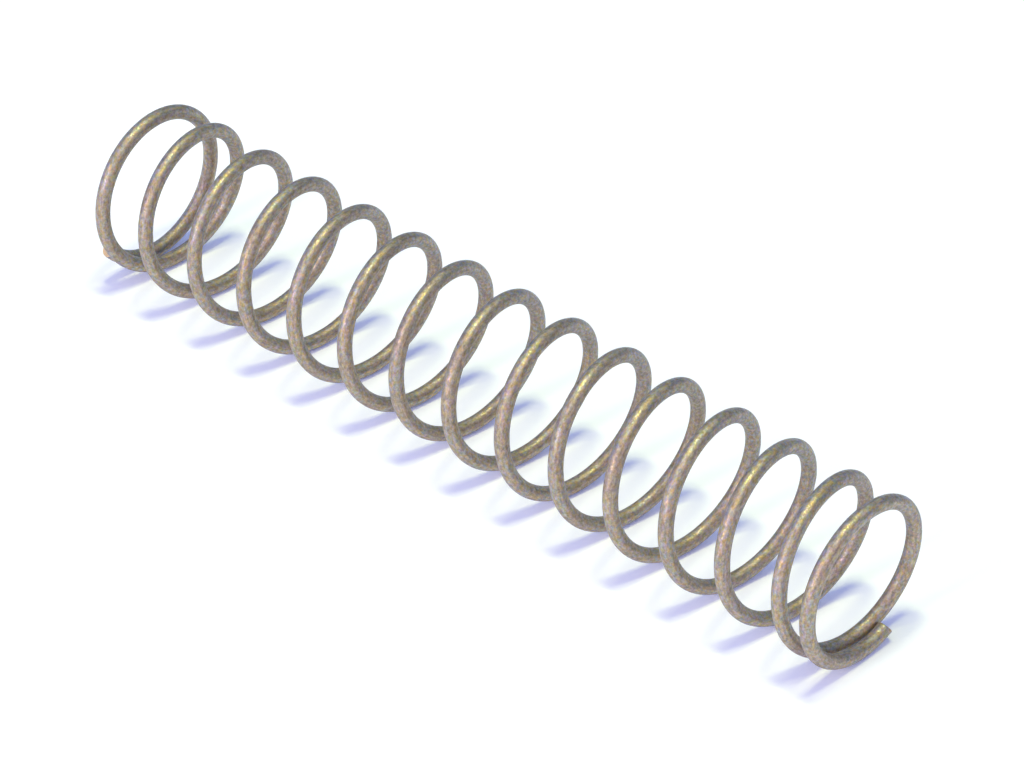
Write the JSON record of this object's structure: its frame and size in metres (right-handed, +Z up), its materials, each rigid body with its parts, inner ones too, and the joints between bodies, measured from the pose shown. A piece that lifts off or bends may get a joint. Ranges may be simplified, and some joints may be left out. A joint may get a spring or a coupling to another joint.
{
  "type": "compression spring",
  "caption": "Small helical compression spring of round bronze-coloured wire, right-hand wound, with closed unground ends; it pushes back when squeezed end to end.",
  "frame": {"origin": "on the axis of the coils, midway between the two ends", "axes": "+X along the axis of the coils, towards the end whose cut tip points back; +Z up as the spring lies on its side, +Y across it"},
  "size_m": [0.038, 0.007, 0.007],
  "materials": {
    "spring_wire": "drawn bronze wire, tarnished and faintly mottled, brighter at the sheared ends"
  },
  "bodies": {
    "root": {"compression_spring": "spring_wire"}
  },
  "joints": []
}
